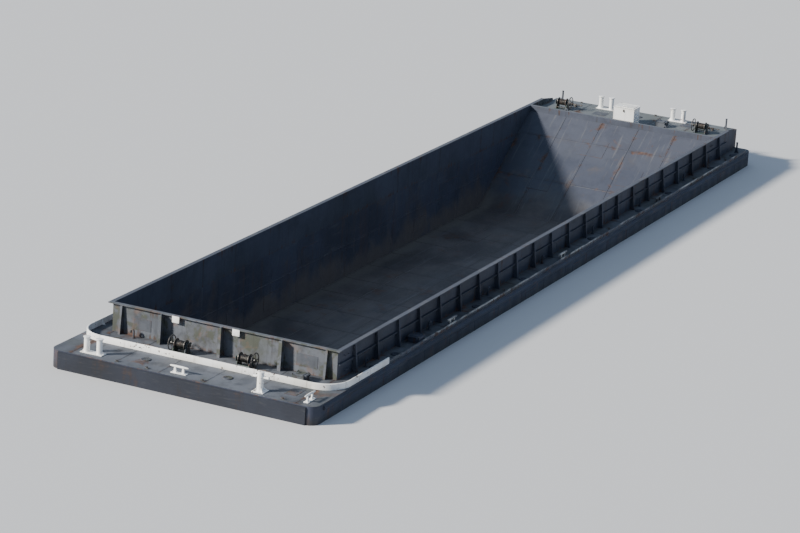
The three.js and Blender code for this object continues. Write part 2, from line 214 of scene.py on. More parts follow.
RUST_DARK = (0.030, 0.017, 0.012)
RUST_BROWN = (0.092, 0.043, 0.025)
RUST_PALE = (0.165, 0.090, 0.055)
GRIME = (0.018, 0.019, 0.021)
SHADE = (0.004, 0.004, 0.005)
ORE_DUST = (0.118, 0.104, 0.098)
ORE_DARK = (0.054, 0.049, 0.050)
SILT = (0.122, 0.114, 0.101)
DECK_GREY = (0.078, 0.086, 0.102)
DECK_PALE = (0.118, 0.129, 0.152)
DECK_PATCH = (0.051, 0.058, 0.073)
RAMP_GREY = (0.038, 0.044, 0.069)
FORE_GREY = (0.150, 0.168, 0.168)
MOSS = (0.054, 0.059, 0.040)
# HULL_BLACK, HULL_FADED and HOLD_STEEL lean blue partly as a painted tint of sky-lit shade.
HULL_BLACK = (0.018, 0.023, 0.040)
HULL_FADED = (0.037, 0.046, 0.076)
HULL_RED = (0.080, 0.030, 0.022)
HOLD_STEEL = (0.050, 0.061, 0.096)
SCRAPED = (0.142, 0.143, 0.148)
WHITE = (0.90, 0.90, 0.88)
WHITE_OLD = (0.74, 0.72, 0.65)
MACHINE_GREEN = (0.045, 0.070, 0.058)
STEEL_DARK = (0.050, 0.047, 0.044)
STEEL_PALE = (0.190, 0.182, 0.172)
ZINC_DARK = (0.22, 0.22, 0.21)
ZINC_PALE = (0.36, 0.36, 0.35)
WIRE_DARK = (0.035, 0.032, 0.030)
WIRE_PALE = (0.120, 0.112, 0.100)
FLOOR_PALE = (0.61, 0.61, 0.61)

# How far from a face its paint may fade out, and the hull's plates: their size, seams and frames
SKIN = 0.02
PLATE = {"long": 1.5, "wide": 1.25, "bead": 0.016, "frames": 0.6}


def rust_color(look, scale):
    grain = look.noise(scale, 6.0, 0.65)
    return look.node("ValToRGB", {"stops": [
        (0.32, RUST_DARK), (0.52, RUST_BROWN), (0.74, RUST_PALE),
    ]}, {"Fac": grain})


def deck_paint(look):
    """Blue-grey deck paint: faded fields, moss, repairs and dirt, with the noise that its rust follows."""
    color = look.stain(DECK_GREY, DECK_PALE, 1.0, 0.20, 0.35, 0.66, detail=3.0, rough=0.5)
    color = look.stain(color, MOSS, 0.55, 0.45, 0.48, 0.66, twist=0.6)
    color = look.stain(color, DECK_PATCH, 0.55, 0.7, 0.55, 0.62, detail=5.0, twist=0.8)
    color = look.stain(color, SILT, 0.35, 0.55, 0.52, 0.74, detail=8.0, twist=0.5)
    color = look.stain(color, GRIME, 0.55, 2.6, 0.45, 0.72, detail=7.0)
    return color, look.noise(1.4, 9.0, 0.66, twist=0.4)


def runs(look, width=5.0, length=0.55):
    """Streaks of rust and dirt down an upright face."""
    return look.noise(1.0, 5.0, 0.6, stretch=(width, width, length))


def in_hold(look):
    """1 on the faces that bound the hold, 0 outside it."""
    across = abs(look.y).between(HOLD_HALF + SKIN, HOLD_HALF + 0.004)
    aft = look.x.between(HOLD_AFT - SKIN, HOLD_AFT - 0.004)
    return across * aft * look.x.between(RAMP_TOP + SKIN, RAMP_TOP + 0.004)


def hull_side(look, rust, run, halo):
    """Tar-black sides, faded and scraped, with a dirty belt and slime below the waterline."""
    side = look.stain(HULL_BLACK, HULL_FADED, 1.0, 0.35, 0.35, 0.70, detail=4.0, rough=0.55)
    side = look.stain(side, SCRAPED, 0.35, 1.0, 0.58, 0.68, detail=8.0, rough=0.7, stretch=(0.7, 0.7, 9.0))
    rusty = (run * 0.7 + look.noise(1.1, 8.0, 0.68) * 0.45 + halo * 0.04).between(0.62, 0.73)
    side = look.mix(rusty * 0.75, side, rust)
    belt = look.z.between(WATERLINE + 0.30, WATERLINE + 0.02)
    side = look.mix(belt * (look.noise(3.0, 4.0).between(0.25, 0.6) * 0.35 + 0.45), side, GRIME)
    slime = look.stain(HULL_RED, GRIME, 1.0, 1.3, 0.42, 0.60, detail=7.0, rough=0.65)
    slime = look.stain(slime, rust, 0.7, 2.2, 0.56, 0.66, detail=8.0, rough=0.7)
    slime = look.stain(slime, SILT, 0.5, 0.6, 0.52, 0.72, detail=8.0, rough=0.65, twist=0.7)
    below = look.z.between(WATERLINE + 0.02, WATERLINE - 0.10)
    return look.mix(below, side, slime), belt


def hold_steel(look):
    return look.stain(HOLD_STEEL, HULL_BLACK, 0.6, 0.5, 0.38, 0.64, detail=5.0)


def hold_wall(look, rust, run):
    """The hold's walls: blue-black steel, its blue partly a painted tint of sky-lit shade, that grabs have
    scraped, with dust up from the floor.
    """
    wall = hold_steel(look)
    wall = look.stain(wall, RUST_DARK, 0.3, 0.8, 0.52, 0.68, detail=7.0, twist=0.5)
    wall = look.stain(wall, SCRAPED, 0.30, 1.0, 0.55, 0.68, detail=8.0, rough=0.7, stretch=(0.7, 0.7, 9.0))
    wall = look.stain(wall, SCRAPED, 0.30, 1.0, 0.57, 0.68, detail=6.0, rough=0.66, stretch=(7.0, 7.0, 0.7))
    wall = look.mix(run.between(0.52, 0.74) * 0.35, wall, rust)
    dusty = (look.noise(0.8, 7.0, 0.62, twist=0.6) + look.z.between(1.3, 0.35) * 0.30).between(0.52, 0.80)
    return look.mix(dusty * 0.8, wall, ORE_DUST)


def hold_floor(look, rust, bead, crack):
    """The hold's floor: fields of dust, lanes that loaders rubbed bright, dirt at the seams and edges."""
    floor = look.stain(ORE_DARK, ORE_DUST, 0.9, 0.50, 0.36, 0.64, detail=7.0, twist=0.5)
    floor = look.stain(floor, HULL_BLACK, 0.5, 0.9, 0.54, 0.70, detail=7.0, twist=0.6)
    floor = look.stain(floor, SCRAPED, 0.30, 1.0, 0.48, 0.70, rough=0.6, stretch=(0.30, 1.1, 1.0), twist=0.3)
    lanes = look.noise(1.0, 7.0, 0.68, stretch=(0.22, 7.0, 1.0)).between(0.56, 0.68)
    floor = look.mix(lanes * 0.55, floor, SCRAPED)
    floor = look.stain(floor, rust, 0.65, 1.5, 0.56, 0.68, detail=9.0, rough=0.66)
    heel = abs(look.y).between(HOLD_HALF - 0.7, HOLD_HALF).most(look.x.between(HOLD_AFT + 0.8, HOLD_AFT))
    heel = (heel * 0.7 + look.noise(1.2, 7.0, 0.62) * 0.6).between(0.45, 0.85)
    floor = look.mix(heel * 0.7, floor, SILT)
    floor = look.mix(crack * 0.55, floor, RUST_DARK)
    return look.mix(bead * 0.5, floor, SCRAPED)


def plating():
    """The hull's plates: paint on the decks, black sides and slime outside, worn steel in the hold."""
    look = Look("hull_plating")
    rust = rust_color(look, 7.0)
    grain = look.noise(14.0, 6.0, 0.7)
    run = runs(look)

    up = look.nz.between(0.3, 0.5)
    inside = in_hold(look) * look.nz.between(-0.3, -0.1)
    slope = up * look.nx.between(-0.2, -0.4)
    clean = slope * (look.z + look.noise(0.8, 5.0) * 1.2).between(0.9, 1.7)
    deck = (up * (1.0 - inside)).most(clean)

    seam_x = look.x.off(PLATE["long"])
    seam_y = (look.y + PLATE["wide"] / 2).off(PLATE["wide"])
    seam_z = look.z.off(PLATE["wide"])
    upright = 1.0 - abs(look.nz).between(0.3, 0.5)

    def along_seams(far, near):
        lines = seam_x.between(far, near).most(seam_y.between(far, near) * up)
        return lines.most(seam_z.between(far, near) * upright)

    bead = along_seams(PLATE["bead"], 0.006)
    crack = along_seams(0.07, 0.0)
    halo = along_seams(0.14, 0.0)

    deck_color, worn = deck_paint(look)
    foot = abs(abs(look.y) - COAMING_FACE).between(0.22, 0.0)
    foot = foot.most(abs(look.x - AFT_FACE).between(0.22, 0.0)) * look.z.between(DECK + 0.05, DECK + 0.01)
    deck_color = look.stain(deck_color, DECK_PALE, 0.35, 1.0, 0.52, 0.66, rough=0.6,
                            stretch=(0.25, 2.2, 1.0))
    deck_color = look.mix(clean * 0.75, deck_color, RAMP_GREY)
    fore = look.x.between(RAMP_TOP, RAMP_TOP + 0.03) * look.z.between(DECK + 0.1, DECK + 0.3)
    deck_color = look.mix(fore * 0.55, deck_color, FORE_GREY)
    deck_color = look.mix(foot * 0.45, deck_color, GRIME)
    deck_color = look.mix(crack * worn.between(0.35, 0.60) * 0.3, deck_color, GRIME)
    deck_rust = (worn + halo * 0.09 + foot * 0.05).between(0.58, 0.71)
    deck_color = look.mix(deck_rust * 0.8, deck_color, rust)

    side, belt = hull_side(look, rust, run, halo)
    hold = look.mix(up, hold_wall(look, rust, run), hold_floor(look, rust, bead, crack))
    color = look.mix(inside, side, hold)
    color = look.mix(deck, color, deck_color)
    spilt = clean * look.z.between(2.9, 0.9)
    color = look.stain(color, ORE_DUST, spilt * 0.7, 1.3, 0.52, 0.74, detail=8.0, rough=0.65)
    color = look.stain(color, SCRAPED, clean * 0.4, 1.0, 0.55, 0.66, rough=0.7, stretch=(0.4, 7.0, 0.4))

    frames = look.x.off(PLATE["frames"]).between(0.0, PLATE["frames"] / 2) * upright
    height = bead * 0.25 + frames * 0.6 + look.noise(0.8, 3.0, 0.5) * 1.5 + grain * 0.10 - deck_rust * 0.12
    rough = 0.55 + grain * 0.3 + deck_rust * deck * 0.15 - belt * 0.2
    return look.finish(color, rough, height, distance=0.02)


def coaming_paint(name="coaming_paint", darker=0.0, tar_and_shade_share=0.8, whitened=0.0):
    """The coamings' grey: tar-black outside, darker there partly as painted shade, rust under the rim and at
    the foot, bare on top, white on curbs.
    """
    look = Look(name)
    rust = rust_color(look, 9.0)
    grain = look.noise(16.0, 6.0, 0.7)
    color, worn = deck_paint(look)
    color = look.mix(darker, color, DECK_PATCH)
    stern = look.x.between(AFT_FACE + 0.02, AFT_FACE + 0.005)
    color = look.stain(color, MOSS, stern * 0.8, 2.3, 0.48, 0.58, detail=5.0, twist=0.4)
    color = look.stain(color, RUST_PALE, stern * 0.4, 1.8, 0.52, 0.64, detail=7.0, twist=0.5)
    outboard = abs(look.y).between(HOLD_HALF + 0.012, HOLD_HALF + SKIN)
    outboard = outboard * look.x.between(AFT_FACE + 0.01, AFT_FACE + 0.03)
    # Tar-black paint on the outboard faces, darkened partly as painted shade.
    tar = look.stain(HULL_BLACK, HULL_FADED, 1.0, 0.5, 0.38, 0.66, detail=5.0, rough=0.6)
    color = look.mix(outboard * tar_and_shade_share, color, tar)
    color = look.mix(in_hold(look) * 0.75, color, hold_steel(look))
    top = look.nz.between(0.5, 0.8) * look.z.between(RIM - 0.05, RIM - 0.01)
    color = look.mix(top * 0.35, color, DECK_PALE)
    color = look.stain(color, SCRAPED, top * 0.3, 1.8, 0.46, 0.64, detail=7.0, rough=0.65)
    if whitened:
        crest = look.z.between(DECK + 0.055, DECK + 0.065) * whitened
        color = look.stain(color, WHITE_OLD, crest, 1.0, 0.42, 0.60, rough=0.66, stretch=(0.8, 3.0, 3.0))
    upright = 1.0 - abs(look.nz).between(0.4, 0.6)
    run = runs(look, 7.0, 0.5)
    foot = look.z.between(DECK + 0.20, DECK)
    under = look.z.between(RIM - 0.22, RIM - 0.03)
    rusty = (run * 0.62 + worn * 0.42 + (foot * 0.09 + under * 0.045) * upright).between(0.59, 0.70)
    color = look.mix(rusty * 0.85, color, rust)
    color = look.mix(run.between(0.50, 0.75) * upright * 0.5, color, GRIME)
    buckle = (look.x + look.y).off(SIDE_STAY["pitch"]).between(0.0, SIDE_STAY["pitch"] / 2) * upright
    height = look.noise(1.1, 3.0, 0.5) * 0.9 + buckle * 0.5 + grain * 0.12 - rusty * 0.12
    return look.finish(color, 0.55 + grain * 0.28 + rusty * 0.12, height, distance=0.018)


def edge_paint(name="edge_paint", washed=0.0, gloss=0.5):
    """Rubbing strakes and end plates: tar-black paint, chafed to rusty steel, dull where it is washed."""
    look = Look(name)
    color = look.stain(HULL_BLACK, HULL_FADED, 0.8, 0.6, 0.35, 0.65, detail=4.0, rough=0.55)
    scrape = look.noise(1.0, 9.0, 0.7, stretch=(1.6, 2.4, 22.0))
    color = look.mix(scrape.between(0.54, 0.66) * 0.30, color, SCRAPED)
    run = runs(look, 6.0, 0.8)
    rusty = (look.noise(1.5, 9.0, 0.68) * 0.55 + run * 0.5 + (scrape - 0.5) * 0.3).between(0.56, 0.70)
    color = look.mix(rusty * 0.65, color, rust_color(look, 8.0))
    color = look.mix(run.between(0.50, 0.72) * 0.5, color, GRIME)
    color = look.mix(washed, color, GRIME)
    grain = look.noise(18.0, 5.0, 0.7)
    height = grain * 0.25 + scrape * 0.4 + look.noise(0.9, 3.0) * 0.9
    return look.finish(color, 0.5 + grain * 0.35, height, distance=0.015, gloss=gloss)


def white_paint():
    """White safety paint: yellowed fields, chips down to rust, dirt from wires and boots."""
    look = Look("white_paint")
    color = look.stain(WHITE, WHITE_OLD, 1.0, 1.1, 0.45, 0.80, detail=4.0, rough=0.55)
    color = look.mix(runs(look, 9.0, 0.9).between(0.53, 0.72) * 0.4, color, RUST_PALE)
    dirt = look.noise(3.5, 7.0, 0.66).between(0.54, 0.85)
    color = look.mix(dirt * 0.25, color, GRIME)
    chips = (look.noise(9.0, 8.0, 0.7) + look.noise(1.2, 3.0) * 0.25).between(0.735, 0.76)
    color = look.mix(chips, color, rust_color(look, 20.0))
    grain = look.noise(25.0, 4.0, 0.6)
    return look.finish(color, 0.38 + dirt * 0.3 + grain * 0.1, grain * 0.1 - chips * 0.3, distance=0.006)


def machine_paint():
    """Grey-green machinery paint with grease and rubbed corners."""
    look = Look("machine_paint")
    color = look.stain(MACHINE_GREEN, DECK_PATCH, 1.0, 4.0, 0.4, 0.65, detail=4.0, rough=0.55)
    rusty = look.noise(7.0, 8.0, 0.7).between(0.56, 0.64)
    color = look.mix(rusty * 0.9, color, rust_color(look, 22.0))
    grease = look.noise(5.0, 5.0, 0.6, twist=1.0).between(0.58, 0.70)
    color = look.mix(grease * 0.8, color, GRIME)
    return look.finish(color, 0.5 + rusty * 0.3 - grease * 0.22, look.noise(30.0, 5.0) * 0.3, distance=0.004)


def worked_steel(name="worked_steel", dark=STEEL_DARK, pale=STEEL_PALE, bare=0.7):
    """Bare steel that wires and hands rub, rusty in its hollows."""
    look = Look(name)
    grain = look.noise(24.0, 6.0, 0.7)
    color = look.mix(grain.between(0.35, 0.65), dark, pale)
    rusty = look.noise(6.0, 8.0, 0.7).between(0.50, 0.64)
    color = look.mix(rusty * 0.7, color, rust_color(look, 18.0))
    rough = 0.38 + rusty * 0.4 + grain * 0.1
    return look.finish(color, rough, grain * 0.3, distance=0.004, metallic=(1.0 - rusty) * bare)


def painted_tank_shade():
    """Painted shade with some dark rust, for the unlit inside of a tank seen through an open hatch."""
    look = Look("painted_tank_shade")
    color = look.stain(SHADE, RUST_DARK, 0.5, 5.0, 0.45, 0.65)
    return look.finish(color, 0.95, look.noise(12.0, 5.0), distance=0.004, gloss=0.1)


def weld_metal():
    """Weld beads: rusty, with a ripple."""
    look = Look("weld_metal")
    ripple = look.noise(60.0, 3.0, 0.5)
    color = look.stain(DECK_PATCH, RUST_BROWN, 1.0, 3.0, 0.40, 0.62, rough=0.6)
    return look.finish(color, 0.7 + ripple * 0.2, ripple, distance=0.003)


PLATING = plating()
COAMING = coaming_paint()
PATCHED = coaming_paint("patched_paint", darker=0.55)
CURB = coaming_paint("curb_paint", tar_and_shade_share=0.25, whitened=0.6)
WELD = weld_metal()
WIRE = worked_steel("wire_strands", WIRE_DARK, WIRE_PALE, bare=0.5)
ANODE = worked_steel("zinc_anode", ZINC_DARK, ZINC_PALE, bare=0.3)
PAINTS = {
    "hull_paint": PLATING,
    "bottom_paint": PLATING,
    "deck_paint": PLATING,
    "coaming_paint": COAMING,
    "edge_paint": edge_paint(),
    "white_paint": white_paint(),
    "machine_paint": machine_paint(),
    "bare_steel": worked_steel(),
}
TRANSOM = edge_paint("transom_paint", washed=0.6, gloss=0.25)
NODE_PAINTS = {"hatch": COAMING, "side_curb": CURB, "transom": TRANSOM}


def paint_solids():
    slots = {row["node"]: row["material_slot"] for row in frame["record"]["subparts"]}
    for name, solid in frame["nodes"].items():
        own = [paint for start, paint in NODE_PAINTS.items() if name.startswith(start)]
        solid.data.materials.clear()
        solid.data.materials.append(own[0] if own else PAINTS[slots[name]])


# Shapes


def moved(x=0.0, y=0.0, z=0.0, turn=0.0):
    """A place: a turn about Z, then a shift."""
    return Matrix.Translation((x, y, z)) @ Matrix.Rotation(turn, 4, "Z")


def along(row, step):
    """Where a step of an even row stands on X."""
    return row["first"] + row["pitch"] * step


def span(sign, near, far):
    """Two distances from the centreline on one side of it, as numbers on Y, the lower first."""
    return sorted((sign * near, sign * far))


def of_kind(parts, kind):
    return [part for part in parts if isinstance(part, kind)]


def edges_at(verts):
    """The edges that meet at some vertices, each once, in a fixed order."""
    return list(dict.fromkeys(edge for vert in verts for edge in vert.link_edges))


def ease(shape, verts, width, segments):
    """Round the edges that meet at some vertices."""
    if width:
        bmesh.ops.bevel(shape, geom=edges_at(verts), offset=width, segments=segments, profile=0.5,
                        affect="EDGES", material=-1)


def grow(shape, faces, vector):
    """Extrude faces by a vector, and give their new vertices."""
    new = of_kind(bmesh.ops.extrude_face_region(shape, geom=faces)["geom"], BMVert)
    bmesh.ops.translate(shape, vec=vector, verts=new)
    return new


def block(shape, low, high, bevel=0.0, segments=2):
    """A box between two corners, its edges rounded."""
    low, high = Vector(low), Vector(high)
    place = Matrix.Translation((low + high) / 2) @ Matrix.Diagonal((*(high - low), 1.0))
    ease(shape, bmesh.ops.create_cube(shape, size=1.0, matrix=place)["verts"], bevel, segments)


def slab(shape, corners, thick, bevel=0.0):
    """A flat plate: its corners, grown by the vector thick."""
    verts = [shape.verts.new(corner) for corner in corners]
    new = grow(shape, [shape.faces.new(verts)], thick)
    ease(shape, new + verts, bevel, 1)


def webs(shape, count, corners, thick, first=0.0):
    """Webs round a post, each from three corners in the plane of X and Z."""
    for step in range(count):
        place = Matrix.Rotation(first + step * 2 * math.pi / count, 3, "Z")
        flat = [place @ Vector((x, -thick / 2, z)) for x, z in corners]
        slab(shape, flat, place @ Vector((0, thick, 0)))


def flat_bar(shape, start, end, half, thick):
    """A flat bar: the middles of its ends, then its half width and its thickness as vectors."""
    start, end, half = Vector(start), Vector(end), Vector(half)
    slab(shape, [start - half, start + half, end + half, end - half], thick)


def lathe(shape, outline, centre=(0, 0, 0), axis=UP, steps=28, ring=False):
    """A solid of revolution from its outline of radius and height; a ring's outline closes on itself."""
    turn = Vector(axis).to_track_quat("Z", "Y").to_matrix().to_4x4()
    place = Matrix.Translation(centre) @ turn
    verts = [shape.verts.new(place @ Vector((radius, 0, height))) for radius, height in outline]
    pairs = list(zip(verts, verts[1:]))
    if ring:
        pairs.append((verts[-1], verts[0]))
    edges = [shape.edges.new(pair) for pair in pairs]
    bmesh.ops.spin(shape, geom=verts + edges, cent=centre, axis=axis, angle=2 * math.pi, steps=steps,
                   use_merge=True, use_duplicate=False)
    bmesh.ops.remove_doubles(shape, verts=shape.verts, dist=1e-5)


def pipe(shape, start, heading, radius, moves, sides=10):
    """A closed pipe that goes straight for each number and bends for each (axis, angle, bend radius)."""
    at = Vector(start)
    heading = Vector(heading).normalized()
    place = Matrix.Translation(at) @ heading.to_track_quat("Z", "Y").to_matrix().to_4x4()
    made = bmesh.ops.create_circle(shape, cap_ends=True, radius=radius, segments=sides, matrix=place)
    ring = made["verts"]
    edges = edges_at(ring)
    for move in moves:
        if isinstance(move, tuple):
            axis, angle, bend = move
            axis = Vector(axis).normalized()
            centre = at + math.copysign(bend, angle) * axis.cross(heading)
            steps = max(3, round(abs(angle) / 0.35))
            last = bmesh.ops.spin(shape, geom=ring + edges, cent=centre, axis=axis, angle=angle,
                                  steps=steps, use_duplicate=False)["geom_last"]
            turn = Matrix.Rotation(angle, 3, axis)
            at = centre + turn @ (at - centre)
            heading = turn @ heading
        else:
            last = bmesh.ops.extrude_edge_only(shape, edges=edges)["geom"]
            bmesh.ops.translate(shape, vec=heading * move, verts=of_kind(last, BMVert))
            at = at + heading * move
        ring = of_kind(last, BMVert)
        edges = [edge for edge in of_kind(last, BMEdge) if all(vert in ring for vert in edge.verts)]
    bmesh.ops.contextual_create(shape, geom=edges)


def rod(shape, start, end, radius, sides=6):
    """A straight closed rod between two points."""
    along = Vector(end) - Vector(start)
    pipe(shape, start, along, radius, [along.length], sides)


def hex_bolts(shape, spots, level, radius=0.009, height=0.007):
    """Bolt heads on their washers, at spots of one level."""
    for x, y in spots:
        for sides, wide, low, high in ((12, 1.5, 0.0, 0.25), (6, 1.0, 0.25, 1.25)):
            bmesh.ops.create_cone(shape, cap_ends=True, segments=sides, radius1=radius * wide,
                                  radius2=radius * wide, depth=(high - low) * height,
                                  matrix=Matrix.Translation((x, y, level + (low + high) / 2 * height)))


def round_spots(count, radius, first=0.0):
    """Spots at even steps on a circle."""
    angles = [first + step * 2 * math.pi / count for step in range(count)]
    return [(radius * math.cos(angle), radius * math.sin(angle)) for angle in angles]


def post(base, radius, height, head):
    """The outline of a welded post. Its head is points, each so far past the radius and below the top."""
    return [
        (0, base - 0.002), (radius + 0.016, base - 0.002), (radius + 0.003, base + 0.014),
        (radius, base + 0.03), *((radius + reach, height - drop) for reach, drop in head), (0, height),
    ]


def as_mesh(shape, name="pattern"):
    bmesh.ops.recalc_face_normals(shape, faces=shape.faces)
    data = bpy.data.meshes.new(name)
    shape.to_mesh(data)
    shape.free()
    return data


def copies(pattern, places):
    """One shape that holds a copy of a pattern at each place."""
    shape = bmesh.new()
    for place in places:
        copy = pattern.copy()
        copy.transform(place)
        shape.from_mesh(copy)
        bpy.data.meshes.remove(copy)
    bpy.data.meshes.remove(pattern)
    return shape


def placed(name, data):
    made = bpy.data.objects.new(name, data)
    bpy.context.scene.collection.objects.link(made)
    return made


def piece(name, shape, slot, body="hull", paint=None, replaces=None):
    """A finished piece of the barge, riding on its body."""
    data = as_mesh(shape, name)
    data.materials.append(paint or PAINTS[slot])
    data.shade_smooth()
    data.set_sharp_from_angle(angle=SMOOTH_UNDER)
    made = placed(name, data)
    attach(made, body)
    if replaces:
        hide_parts(replaces)


def seat(node):
    """Where a fitting stands, turned along its longer side."""
    low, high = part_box(node)
    turn = QUARTER if high.y - low.y > high.x - low.x else 0.0
    return moved((low.x + high.x) / 2, (low.y + high.y) / 2, low.z, turn)


def deck_at(x, y):
    """The level of the deck at a spot: the fore deck is the higher one."""
    return FORE_DECK if x > RAMP_TOP and abs(y) < HOLD_HALF else DECK


def stands(spots, turn=0.0):
    return [moved(x, y, deck_at(x, y), turn) for x, y in spots]


# Mooring fittings


def bitt_pair():
    """Two capped posts on one base plate, with webs between post and plate."""
    shape = bmesh.new()
    base, spread, radius = 0.02, 0.18, 0.075
    block(shape, (-0.31, -0.12, 0), (0.31, 0.12, base), bevel=0.006)
    head = ((0, 0.045), (0.016, 0.024), (0.02, 0.018), (0.02, 0.006), (0.014, 0))
    for end in (-1, 1):
        lathe(shape, post(base, radius, 0.41, head), (end * spread, 0, 0))
        near, far, foot = end * (spread + radius - 0.005), end * 0.302, base - BITE
        slab(shape, [(near, -0.006, foot), (far, -0.006, foot), (near, -0.006, base + 0.08)], (0, 0.012, 0))
    hex_bolts(shape, product((-0.285, 0, 0.285), (-0.1, 0.1)), base)
    return as_mesh(shape)


def cross_bitt():
    """One tall post with a cross bar."""
    shape = bmesh.new()
    block(shape, (-0.16, -0.16, 0), (0.16, 0.16, 0.02), bevel=0.006)
    lathe(shape, post(0.02, 0.085, 0.50, ((0, 0.016), (-0.005, 0.005), (-0.016, 0))))
    bar, half, knob = 0.032, 0.23, 0.042
    lathe(shape, [
        (0, -half), (0.036, -half), (knob, -half + 0.006), (knob, -half + 0.014), (bar, -half + 0.022),
        (bar, half - 0.022), (knob, half - 0.014), (knob, half - 0.006), (0.036, half), (0, half),
    ], (0, 0, 0.37), (1, 0, 0), steps=20)
    webs(shape, 4, ((0.08, 0.019), (0.19, 0.019), (0.08, 0.11)), 0.012, QUARTER / 2)
    return as_mesh(shape)


def kevel():
    """A cleat with two tapered horns."""
    shape = bmesh.new()
    block(shape, (-0.215, -0.065, 0), (0.215, 0.065, 0.016), bevel=0.005)
    for x in (-0.115, 0.115):
        slab(shape, [
            (x - 0.042, -0.018, 0.014), (x + 0.042, -0.018, 0.014), (x + 0.022, -0.018, 0.165),
            (x - 0.022, -0.018, 0.165),
        ], (0, 0.036, 0), bevel=0.005)
    hex_bolts(shape, product((-0.185, 0.185), (-0.045, 0.045)), 0.016)
    horn = [(0, 0.26), (0.012, 0.256), (0.018, 0.245), (0.023, 0.19), (0.028, 0.12)]
    outline = [(radius, -reach) for radius, reach in horn] + horn[::-1]
    lathe(shape, outline, (0, 0, 0.17), (1, 0, 0), steps=16)
    return as_mesh(shape)


def mooring():
    for node, fitting in (
        ("bitts_stern_port", bitt_pair), ("bitts_bow_port", bitt_pair), ("bitts_bow_starboard", bitt_pair),
        ("bitt_stern_starboard", cross_bitt), ("kevel_stern_middle", kevel), ("kevel_stern_corner", kevel),
    ):
        piece(node + "_dressed", copies(fitting(), [seat(node)]), "white_paint", replaces=node)


# Curbs


def stern_curbs():
    """The white curb across the stern with its round corners and legs, its edges eased."""
    low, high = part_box("stern_curb")
    thick, edge = high.x - low.x, 0.008
    shape = bmesh.new()
    block(shape, low, high, bevel=edge)
    piece("stern_curb_dressed", shape, "white_paint", replaces="stern_curb")
    straight = high.y + LIFT
    turn = CURB_EDGE - straight
    for side, sign in SIDES.items():
        node = f"stern_curb_{side}"
        shape = bmesh.new()
        outline = [shape.verts.new((low.x + x, sign * straight, z)) for x, z in (
            (edge, low.z), (thick - edge, low.z), (thick, low.z + edge), (thick, high.z - edge),
            (thick - edge, high.z), (edge, high.z), (0, high.z - edge), (0, low.z + edge),
        )]
        centre = (low.x + turn, sign * straight, 0)
        last = bmesh.ops.spin(shape, geom=[shape.faces.new(outline)], cent=centre, axis=UP,
                              angle=-sign * QUARTER, steps=18, use_duplicate=False)["geom_last"]
        grow(shape, of_kind(last, BMFace), (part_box(node)[1].x - centre[0], 0, 0))
        piece(node + "_dressed", shape, "white_paint", replaces=node)


def curb_brackets():
    """Small webs that hold the stern curb up from inside."""
    low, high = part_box("stern_curb")
    shape = bmesh.new()
    foot, top, near = low.z, high.z - 0.03, high.x - BITE
    for step in range(-3, 4):
        y = step * 0.92
        slab(shape, [(near, y, foot), (high.x + 0.09, y, foot), (near, y, top)], (0, 0.01, 0))
    inner = CURB_EDGE - (high.x - low.x) + BITE
    for sign, x in product(SIGNS, (-12.6, -11.8, -11.1)):
        near, far = sign * inner, sign * (inner - 0.08)
        slab(shape, [(x, near, foot), (x, far, foot), (x, near, top)], (0.01, 0, 0))
    piece("stern_curb_brackets", shape, "white_paint")


# Deck gear


def manhole():
    """A bolted manhole cover on its ring, with two handles."""
    shape = bmesh.new()
    lathe(shape, [(0, 0), (0.138, 0), (0.138, 0.006), (0.134, 0.009), (0.126, 0.009), (0.126, 0.016),
                  (0.122, 0.019), (0.085, 0.019), (0.080, 0.016), (0, 0.016)], steps=32)
    hex_bolts(shape, round_spots(14, 0.105), 0.019, 0.008, 0.006)
    corner = ((0, 1, 0), QUARTER, 0.012)
    for y in (-0.045, 0.045):
        pipe(shape, (-0.03, y, 0.014), UP, 0.0045, [0.008, corner, 0.036, corner, 0.008], sides=6)
    return as_mesh(shape)


# Where the deck gear stands: X along a side deck, or X and Y on the end decks
MANHOLES = {
    "side": (-11.45, -10.25, -5.45, -2.45, 2.35, 5.95, 8.35, 11.95, 13.9),
    "ends": ((-13.40, 2.75), (-14.30, 1.35), (-14.30, -0.95), (-13.42, -0.05), (13.15, 1.55), (13.15, -1.95),
             (14.30, 0.0)),
}
VENTS = {
    "after_stays": [step + 0.42 for step in range(0, 21, 3)],
    "ends": ((-13.05, 2.45), (-13.05, -0.75), (RAMP_TOP + 0.16, -1.5), (RAMP_TOP + 0.16, 1.9)),
}
BINDERS = ((-13.52, 1.75), (-13.52, -1.55), (14.25, 2.30), (14.25, -2.45))
SOCKETS = ((-12.0, 3.42), (14.35, 3.42), (14.35, -3.42), (14.75, 2.85), (14.75, -2.85))
LUGS = {
    "side": (-12.3, -3.7, 3.6, 10.4, 13.2),
    "ends": [(-14.82, y) for y in (-2.75, -0.55, 1.0, 1.85)] + [(14.85, y) for y in (-2.2, -0.4, 0.4, 2.2)],
}
WALKWAY = (CURB_EDGE + COAMING_FACE + SIDE_STAY["foot"]) / 2
MANHOLE_LINE = WALKWAY - 0.01
VENT_LINE = COAMING_FACE + 0.115


def manholes():
    for side, sign in SIDES.items():
        places = stands([(x, sign * MANHOLE_LINE) for x in MANHOLES["side"]])
        piece(f"manholes_{side}", copies(manhole(), places), "coaming_paint", paint=PATCHED)
    piece("manholes_ends", copies(manhole(), stands(MANHOLES["ends"])), "coaming_paint", paint=PATCHED)


def gooseneck():
    """A vent pipe that bends over, with a netted mouth and a flanged foot."""
    shape = bmesh.new()
    radius, rise, bend = 0.024, 0.17, 0.045
    pipe(shape, (0, 0, 0), UP, radius, [rise, ((0, 1, 0), math.pi, bend), 0.03], sides=16)
    lathe(shape, [(0, 0), (0.052, 0), (0.052, 0.01), (0.03, 0.01), (0.03, 0.018), (0, 0.018)], steps=20)
    lathe(shape, [(0, 0), (0.030, 0), (0.032, 0.004), (0.032, 0.022), (0.024, 0.026), (0, 0.026)],
          (2 * bend, 0, rise - 0.036), steps=20)
    hex_bolts(shape, round_spots(4, 0.042, QUARTER / 2), 0.01, 0.006, 0.005)
    return as_mesh(shape)


